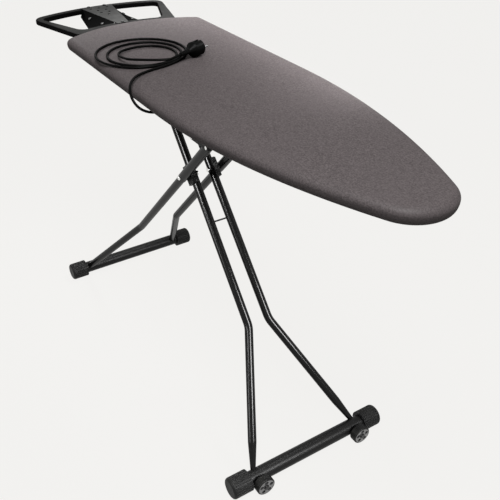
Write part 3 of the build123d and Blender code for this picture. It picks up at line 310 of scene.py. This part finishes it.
plasticLooks = {
    "blackPlastic": {
        "color": grey(0.009), "light": grey(0.014), "dustAndTopLightColor": rgb(0.04, 0.04, 0.038),
        "dustAndTopLight": 0.15, "gloss": 0.05, "coat": (0.13, 0.42), "rough": (0.4, 0.55),
        "grain": 1500.0, "cloud": 25.0, "bump": 0.04},
    # the strong, even tone on what faces up is a painted highlight over near-black plastic
    "restPlastic": {
        "color": grey(0.002), "light": grey(0.003), "dustAndTopLightColor": rgb(0.05, 0.05, 0.049),
        "dustAndTopLight": 0.8, "gloss": 0.0, "coat": (0.05, 0.2), "rough": (0.35, 0.5),
        "grain": 1200.0, "cloud": 18.0, "bump": 0.2, "patch": 0.3, "rise": 0.85},
    "hubPlastic": {
        "color": grey(0.035), "light": grey(0.07), "dustAndTopLightColor": grey(0.1),
        "dustAndTopLight": 0.1, "gloss": 0.5, "coat": (1.0, 0.1), "rough": (0.25, 0.35),
        "grain": 1200.0, "cloud": 40.0, "bump": 0.03},
    "tyreRubber": {
        "color": grey(0.007), "light": rgb(0.014, 0.014, 0.013), "dustAndTopLightColor": rgb(0.04, 0.04, 0.038),
        "dustAndTopLight": 0.2, "gloss": 0.05, "coat": (0.12, 0.35), "rough": (0.45, 0.6),
        "grain": 900.0, "cloud": 30.0, "bump": 0.25},
    "cordSkin": {
        "color": grey(0.002), "light": grey(0.004), "dustAndTopLightColor": grey(0.012),
        "dustAndTopLight": 0.1, "gloss": 0.0, "coat": (0.09, 0.3), "rough": (0.4, 0.5),
        "grain": 700.0, "cloud": 30.0, "bump": 0.1},
}
steelLooks = {
    "zincSteel": {
        "dark": rgb(0.46, 0.46, 0.45), "light": rgb(0.66, 0.66, 0.65), "rough": (0.28, 0.42),
        "streak": 1.0, "bump": 0.06},
    "springSteel": {
        "dark": grey(0.36), "light": grey(0.5), "rough": (0.2, 0.3), "streak": 1.0, "bump": 0.03},
    "dullSteel": {
        "dark": grey(0.1), "light": grey(0.18), "rough": (0.2, 0.3), "streak": 1.0, "bump": 0.03},
    "brightSteel": {
        "dark": rgb(0.72, 0.72, 0.71), "light": rgb(0.85, 0.85, 0.84), "rough": (0.12, 0.2),
        "streak": 1.0, "bump": 0.02},
}
finishKinds = (
    (wovenCloth, clothLooks, 0.0006),
    (coatedFinish, paintLooks, 0.0002),
    (coatedFinish, plasticLooks, 0.0003),
    (platedSteel, steelLooks, 0.0001),
)
finishes = {}
for makeFinish, looks, relief in finishKinds:
    for finishName, look in looks.items():
        finishes[finishName] = makeFinish(finishName, look, relief)

nodesOf = {
    "tubePaint": ("front_tube_left", "front_tube_right", "cross_wire"),
    "rearTubePaint": ("rear_tube_left", "rear_tube_right", "rear_sleeve_left", "rear_sleeve_right"),
    "barPaint": ("front_foot_bar", "rear_foot_bar"),
    "deckPaint": ("deck", "rim_frame"),
    "bridgePaint": ("rest_bridge", "bridge_straps"),
    "blackSteel": ("rest_screws", "wheel_axles"),
    "blackPlastic": (
        "pivot_saddle_left", "pivot_saddle_right", "front_cap_left", "front_cap_right",
        "rear_cap_left", "rear_cap_right", "socket_housing", "socket_face", "cable_gland",
        "release_grip", "hinge_bushes", "slide_shoes"),
    "restPlastic": ("rest_frame",),
    "hubPlastic": ("wheel_hub_left", "wheel_hub_right"),
    "tyreRubber": ("wheel_tyre_left", "wheel_tyre_right"),
    "cordSkin": ("plug_body",),
    "zincSteel": (
        "hinge_bracket", "hinge_rod", "slide_rail_left", "slide_rail_right", "lock_bracket",
        "lock_pin", "slide_rod", "lock_rack", "release_bar", "rest_carrier_left",
        "rest_carrier_right"),
    "springSteel": ("lock_spring",),
    "dullSteel": ("bridge_screws", "plug_pins"),
    "brightSteel": ("pivot_pins", "socket_screws"),
}
finishOf = {nodeName: finishes[kind] for kind, names in nodesOf.items() for nodeName in names}
for nodeName, finish in finishOf.items():
    for place in cadNodes[nodeName].material_slots:
        place.material = finish
print("finishes on", len(finishOf), "nodes")


# mesh helpers
def newPiece(name, build, finish):
    mesh = bpy.data.meshes.new(name)
    build.to_mesh(mesh)
    build.free()
    mesh.materials.append(finish)
    piece = bpy.data.objects.new(name, mesh)
    scene.collection.objects.link(piece)
    for face in mesh.polygons:
        face.use_smooth = True
    return piece


def loftPiece(name, rings, weld, finish):
    # skin over closed rings; points closer than weld become one
    build = bmesh.new()
    rows = [[build.verts.new(point) for point in ring] for ring in rings]
    for first, second in zip(rows, rows[1:]):
        count = len(first)
        for at in range(count):
            following = (at + 1) % count
            build.faces.new((first[at], first[following], second[following], second[at]))
    bmesh.ops.remove_doubles(build, verts=build.verts, dist=weld)
    bmesh.ops.recalc_face_normals(build, faces=build.faces)
    return newPiece(name, build, finish)


def softNoise(x, y, scale, layer):
    # from -1 to 1; each use has a layer of its own
    return noise.noise(Vector((x * scale, y * scale, layer)))


# board outline, as the deck and cover follow it; the field is what lies inside the edge
boardSize = {
    "noseRadius": 0.086, "taperLength": 0.650, "rearArc": 0.365, "rearCorner": 0.026, "innerCorner": 0.004,
    "noseSteps": 30, "taperSteps": 70, "sideSteps": 44, "cornerSteps": 22, "rearSteps": 26,
    "fieldInset": 0.044, "fieldRun": 0.15, "spine": (-0.30, 0.45),
}


def arcPoints(center, radius, start, end, steps):
    turns = [start + (end - start) * step / steps for step in range(steps)]
    return [(center[0] + radius * math.cos(turn), center[1] + radius * math.sin(turn)) for turn in turns]


def boardOutline(inset):
    size = boardSize
    low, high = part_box("cover")
    half, noseX, rearX = high[1], high[0], low[0]
    nose, taper, arc = size["noseRadius"], size["taperLength"], size["rearArc"]
    corner = max(size["rearCorner"] - inset, size["innerCorner"])
    side = (taper**2 - 2 * taper * nose + half**2) / (2 * (half - nose))
    taperX, sideY = noseX - taper, half - side
    cornerY = half - inset - corner
    cornerX = rearX + arc - math.sqrt((arc - inset - corner) ** 2 - cornerY**2)
    noseTurn = math.atan2(-sideY, noseX - nose - taperX)
    cornerTurn = math.atan2(cornerY, cornerX - rearX - arc)
    sideTurn = math.pi / 2
    sideRun, sideSteps = cornerX - taperX, size["sideSteps"]
    points = arcPoints((noseX - nose, 0), nose - inset, 0, noseTurn, size["noseSteps"])
    points += arcPoints((taperX, sideY), side - inset, noseTurn, sideTurn, size["taperSteps"])
    points += [(taperX + sideRun * step / sideSteps, half - inset) for step in range(sideSteps)]
    points += arcPoints((cornerX, cornerY), corner, sideTurn, cornerTurn, size["cornerSteps"])
    points += arcPoints((rearX + arc, 0), arc - inset, cornerTurn, math.pi, size["rearSteps"])
    points.append((rearX + inset, 0))
    mirrored = [(x, -y) for x, y in points[1:-1]]
    return points + mirrored[::-1]


def towardsSpine(ring, share):
    rearEnd, noseEnd = boardSize["spine"]
    moved = []
    for x, y in ring:
        target = min(max(x, rearEnd), noseEnd)
        moved.append((x + (target - x) * share, y * (1 - share)))
    return moved


def fieldRings(steps, heightAt):
    # rings from the field's outline in to the spine
    inner = boardOutline(boardSize["fieldInset"])
    rings = []
    for step in range(1, steps + 1):
        inset = boardSize["fieldInset"] + boardSize["fieldRun"] * step / steps
        rings.append([(x, y, heightAt(x, y, inset)) for x, y in towardsSpine(inner, step / steps)])
    return rings


# cover: drawn tight over the pad, gathered by the elastic under the rim
coverPiece = {
    "top": 0.910, "bottom": 0.878, "thick": 0.0008, "weld": 0.00005,
    "edgeRun": 0.020, "edgeDrop": 0.014, "edgeSteps": 18, "edgePower": 2.2,
    "pastEdge": [0.024, 0.030, 0.037, boardSize["fieldInset"]], "fieldSteps": 14,
    "crown": 0.0015, "crownRun": 0.07, "sag": 0.0005, "sagNoise": (7, 1.7),
    "lowerRun": 0.0085, "lowerRise": 0.0165, "lowerSteps": 8,
    "hemRows": [(0.0295, 1.0), (0.026, 0.9), (0.022, 0.75), (0.017, 0.5), (0.013, 0.25), (0.0105, 0.08)],
    "hemLift": 0.0003, "gatherDepth": 0.0016, "gatherTurns": 85,
    "wander": 7.5, "wanderNoise": (9, 0.3), "gatherNoise": (14, 4.1),
}


def coverTop(x, y, inset):
    # round shoulder over the pad's edge, a slight crown, soft dips further in
    look = coverPiece
    share = max(0.0, 1 - inset / look["edgeRun"])
    shoulder = look["edgeDrop"] * (1 - math.sqrt(1 - share**2))
    crown = look["crown"] * max(0.0, 1 - inset / look["crownRun"]) ** 2
    dip = 0.5 + 0.5 * softNoise(x, y, *look["sagNoise"])
    return look["top"] - shoulder - crown - look["sag"] * dip * min(1.0, inset / look["edgeRun"])


def gatherAt(turn):
    # share of the full gather at one place round the hem
    look = coverPiece
    x, y = math.cos(turn), math.sin(turn)
    wander = look["wander"] * softNoise(x, y, *look["wanderNoise"])
    fold = 0.5 + 0.5 * math.sin(look["gatherTurns"] * turn + wander)
    return fold * (0.5 + 0.5 * softNoise(x, y, *look["gatherNoise"]))


def buildCover():
    look = coverPiece
    rings = []
    for inset, fade in look["hemRows"]:
        outline = boardOutline(inset)
        ring = []
        for at, (x, y) in enumerate(outline):
            gather = look["gatherDepth"] * fade * gatherAt(2 * math.pi * at / len(outline))
            ring.append((x, y, look["bottom"] + look["hemLift"] - gather))
        rings.append(ring)
    for step in range(look["lowerSteps"] + 1):
        turn = math.pi / 2 * step / look["lowerSteps"]
        inset = look["lowerRun"] * (1 - math.sin(turn))
        z = look["bottom"] + look["lowerRise"] * (1 - math.cos(turn))
        rings.append([(x, y, z) for x, y in boardOutline(inset)])
    edgeShares = [step / look["edgeSteps"] for step in range(look["edgeSteps"] + 1)]
    for inset in [look["edgeRun"] * share ** look["edgePower"] for share in edgeShares] + look["pastEdge"]:
        rings.append([(x, y, coverTop(x, y, inset)) for x, y in boardOutline(inset)])
    rings += fieldRings(look["fieldSteps"], coverTop)
    piece = loftPiece("coverSkin", rings, look["weld"], finishes["coverCloth"])
    shell = piece.modifiers.new("thickness", "SOLIDIFY")
    shell.thickness = look["thick"]
    shell.offset = -1
    return piece


coverSkin = buildCover()
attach(coverSkin, "board")
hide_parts("cover")

# pad between cover and deck
padPiece = {
    "insets": (0.0054, 0.0062, 0.0075, 0.0095, 0.0125, 0.0165, 0.022, 0.030, boardSize["fieldInset"]),
    "low": 0.9009, "under": 0.0016, "tuft": 0.0003, "tuftNoise": (30, 2.2),
    "lowSteps": 6, "fieldSteps": 10, "weld": 0.00005,
}


def padTop(x, y, inset):
    tuft = 0.5 + 0.5 * softNoise(x, y, *padPiece["tuftNoise"])
    return coverTop(x, y, inset) - padPiece["under"] - padPiece["tuft"] * tuft


def buildPad():
    look = padPiece
    inner = boardOutline(boardSize["fieldInset"])
    lowRings = [towardsSpine(inner, 1 - step / look["lowSteps"]) for step in range(look["lowSteps"] + 1)]
    lowRings.append(boardOutline(look["insets"][0]))
    rings = [[(x, y, look["low"]) for x, y in ring] for ring in lowRings]
    for inset in look["insets"]:
        rings.append([(x, y, coverTop(x, y, inset) - look["under"]) for x, y in boardOutline(inset)])
    rings += fieldRings(look["fieldSteps"], padTop)
    return loftPiece("padFeltSheet", rings, look["weld"], finishes["padFelt"])


padSheet = buildPad()
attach(padSheet, "board")
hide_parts("pad")

# elastic in the hem, rippled where it draws the cloth in
elasticPiece = {
    "outer": 0.0225, "inner": 0.0295, "low": 0.8797, "high": 0.8807, "ripple": 0.0002, "count": 160,
    "weld": 0.00002,
}


def buildElastic():
    look = elasticPiece
    outer, inner = boardOutline(look["outer"]), boardOutline(look["inner"])
    turns = [math.pi * at / len(outer) for at in range(len(outer))]
    waves = [look["ripple"] * math.sin(look["count"] * turn) for turn in turns]
    corners = ((outer, look["low"]), (outer, look["high"]), (inner, look["high"]), (inner, look["low"]))
    rings = []
    for ring, z in corners:
        rings.append([(x, y, z + wave) for (x, y), wave in zip(ring, waves)])
    return loftPiece("hemTape", rings + [rings[0]], look["weld"], finishes["elasticTape"])


hemTape = buildElastic()
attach(hemTape, "board")
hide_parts("hem_elastic")
print("cloth pieces done")

# mains lead: from the gland, round the edge and into loose turns, to the plug
leadRoute = {
    "gauge": 0.006, "start": (-0.090, -0.066), "turn": 14.0, "pitch": 0.0085, "first": 0.124,
    "shrink": 0.021, "quarters": 11, "perQuarter": 4, "climb": 0.009, "lie": 0.9133, "leadIn": 0.028,
    "tailRun": 0.024, "tailRise": 0.001, "neckRun": 0.040, "neckDrop": 0.0025, "bootRun": 0.014,
    "plugEntry": (-0.097, -0.036, 0.9287), "plugHeading": 112.0,
    "free": [
        (0.113, -0.130, 0.856), (0.095, -0.130, 0.8565), (0.076, -0.138, 0.859),
        (0.062, -0.154, 0.8629), (0.056, -0.174, 0.8669), (0.054, -0.195, 0.8704),
        (0.049, -0.212, 0.8788), (0.040, -0.2205, 0.8897), (0.028, -0.223, 0.9016),
        (0.012, -0.219, 0.911), (-0.008, -0.2085, 0.9165), (-0.028, -0.193, 0.9189),
        (-0.050, -0.174, 0.9165), (-0.067, -0.151, 0.9141), (-0.078, -0.123, 0.9133)],
}


def headingVector(degrees):
    turn = math.radians(degrees)
    return Vector((math.cos(turn), math.sin(turn), 0))


def leadPoints():
    look = leadRoute
    out = headingVector(look["turn"])
    start = Vector((*look["start"], look["lie"]))
    points = [Vector(point) for point in look["free"]]
    points.append(start - Vector((-out.y, out.x, 0)) * look["leadIn"])
    for step in range(look["quarters"] * look["perQuarter"] + 1):
        turns = step / (4 * look["perQuarter"])
        angle = math.radians(look["turn"]) + 2 * math.pi * turns
        radius = look["first"] - look["shrink"] * turns
        climb = look["climb"] * max(0, turns * 4 - look["quarters"] + 1)
        center = start - out * (look["pitch"] * turns + radius)
        points.append(center + Vector((radius * math.cos(angle), radius * math.sin(angle), climb)))
    # the tail leaves the last turn and comes into the plug's boot
    tail = (points[-1] - points[-2]).normalized()
    entry = Vector(look["plugEntry"])
    forward = headingVector(look["plugHeading"])
    points.append(points[-1] + tail * look["tailRun"] + Vector((0, 0, look["tailRise"])))
    points.append(entry - forward * look["neckRun"] - Vector((0, 0, look["neckDrop"])))
    points.append(entry - forward * look["bootRun"])
    points.append(entry)
    return points


def buildLead(points):
    curve = bpy.data.curves.new("mainsLead", "CURVE")
    curve.dimensions = "3D"
    spline = curve.splines.new("NURBS")
    spline.points.add(len(points) - 1)
    for point, spot in zip(spline.points, points):
        point.co = (*spot, 1)
    spline.order_u = 3
    spline.use_endpoint_u = True
    spline.resolution_u = 8
    curve.bevel_depth = leadRoute["gauge"] / 2
    curve.bevel_resolution = 6
    curve.use_fill_caps = True
    curve.materials.append(finishes["cordSkin"])
    lead = bpy.data.objects.new("mainsLeadCord", curve)
    scene.collection.objects.link(lead)
    return lead


leadLine = leadPoints()
mainsLead = buildLead(leadLine)
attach(mainsLead, "board")
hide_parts("mains_lead", "lead_coil")
print("lead points", len(leadLine))

# stage: pale floor and room, soft light from above, strips at the far edge and rear, boxes for the legs
stageLook = {
    "pale": rgb(0.965, 0.957, 0.939), "lit": rgb(0.3, 0.297, 0.292), "shadow": 0.10, "floorSize": 30,
    "room": rgb(0.896, 0.888, 0.871), "fillHigh": 0.3, "fillLow": 0.06,
}


def seenDirectly(tree):
    # 1 for what the camera sees straight, in a reflection or through glass
    ray = addNode(tree, "ShaderNodeLightPath").outputs
    mirrored = mathNode(tree, "MAXIMUM", ray["Is Glossy Ray"], ray["Is Transmission Ray"])
    return mathNode(tree, "MAXIMUM", ray["Is Camera Ray"], mirrored)


def buildFloor():
    build = bmesh.new()
    bmesh.ops.create_grid(build, x_segments=1, y_segments=1, size=stageLook["floorSize"])
    material = bpy.data.materials.new("paleFloor")
    material.use_nodes = True
    material.cycles.emission_sampling = "NONE"  # the glow is seen and isn't sampled as a lamp
    tree = material.node_tree
    tree.nodes.clear()
    lit = addNode(tree, "ShaderNodeBsdfDiffuse", {"Color": stageLook["lit"]})
    glow = addNode(tree, "ShaderNodeEmission", {"Color": stageLook["pale"], "Strength": 1.0})
    share = mathNode(tree, "MULTIPLY", seenDirectly(tree), 1 - stageLook["shadow"])
    both = addNode(tree, "ShaderNodeMixShader", {0: share, 1: lit.outputs[0], 2: glow.outputs[0]})
    end = addNode(tree, "ShaderNodeOutputMaterial")
    tree.links.new(both.outputs[0], end.inputs[0])
    floor = newPiece("floor", build, material)


def buildWorld():
    world = bpy.data.worlds.new("paleRoom")
    scene.world = world
    world.use_nodes = True
    world.cycles.sampling_method = "NONE"  # less noise on the caps
    tree = world.node_tree
    tree.nodes.clear()
    direction = addNode(tree, "ShaderNodeTexCoord").outputs["Generated"]
    upward = addNode(tree, "ShaderNodeSeparateXYZ", {0: direction}).outputs[2]
    fill = shareNode(tree, upward, (stageLook["fillLow"], stageLook["fillHigh"]))
    strength = shareNode(tree, seenDirectly(tree), (fill, 1.0))
    back = addNode(tree, "ShaderNodeBackground", {"Color": stageLook["room"], "Strength": strength})
    end = addNode(tree, "ShaderNodeOutputWorld")
    tree.links.new(back.outputs[0], end.inputs[0])


# lamps with legs set light the legs alone: they draw lines on the tubes and leave the cloth as it is
legWords = ("front", "rear", "wheel", "pivot", "cross")
lampLooks = {
    "keySoftbox": {
        "at": (1.05, -0.45, 2.9), "aim": (0.3, 0.0, 0.9), "size": (1.1, 1.1),
        "power": 39, "spread": 150, "legs": False},
    "farStrip": {
        "at": (-0.42, 0.36, 1.12), "aim": (-0.42, 0.2, 0.905), "size": (1.56, 0.1),
        "power": 1.75, "spread": 60, "legs": False},
    "rearStrip": {
        "at": (-0.70, 0.05, 1.15), "aim": (-0.48, 0.02, 0.905), "size": (0.5, 0.1),
        "power": 0.42, "spread": 66, "legs": False},
    "tubeBox": {
        "at": (0.50, -1.72, 1.65), "aim": (-0.14, -0.04, 0.72), "size": (0.5, 0.4),
        "power": 2.2, "spread": 40, "legs": True},
    "lowBox": {
        "at": (0.1, -2.0, 0.8), "aim": (0.25, -0.08, 0.22), "size": (0.5, 0.4),
        "power": 1.2, "spread": 60, "legs": True},
    "noseBox": {
        "at": (1.80, 0.4, 1.36), "aim": (0.25, -0.05, 0.27), "size": (0.6, 0.6),
        "power": 4.3, "spread": 46, "legs": True},
}


def groupLegs():
    group = bpy.data.collections.new("legs")
    for nodeName in finishOf:
        if nodeName.split("_")[0] in legWords:
            group.objects.link(cadNodes[nodeName])
    return group


def addLamp(name, look, legGroup):
    data = bpy.data.lights.new(name, "AREA")
    data.shape = "RECTANGLE"
    data.size, data.size_y = look["size"]
    data.energy = look["power"]
    data.spread = math.radians(look["spread"])
    lamp = bpy.data.objects.new(name, data)
    lamp.location = look["at"]
    throw = Vector(look["aim"]) - Vector(look["at"])
    lamp.rotation_euler = throw.to_track_quat("-Z", "Y").to_euler()
    scene.collection.objects.link(lamp)
    if look["legs"]:
        lamp.light_linking.receiver_collection = legGroup


legs = groupLegs()
buildFloor()
buildWorld()
for lampName, lampLook in lampLooks.items():
    addLamp(lampName, lampLook, legs)

# camera at the photograph's angle
cameraLook = {
    "at": (1.38392, -0.77995, 1.46886), "azimuth": 57.58, "elevation": 33.74,
    "lens": 50.38, "sensor": 36,
}
cameraData = bpy.data.cameras.new("camera")
cameraData.lens = cameraLook["lens"]
cameraData.sensor_width = cameraLook["sensor"]
camera = bpy.data.objects.new("camera", cameraData)
camera.location = cameraLook["at"]
tilt = math.radians(90 - cameraLook["elevation"])
camera.rotation_euler = (tilt, 0, math.radians(cameraLook["azimuth"]))
scene.collection.objects.link(camera)
scene.camera = camera
print("stage and camera set")
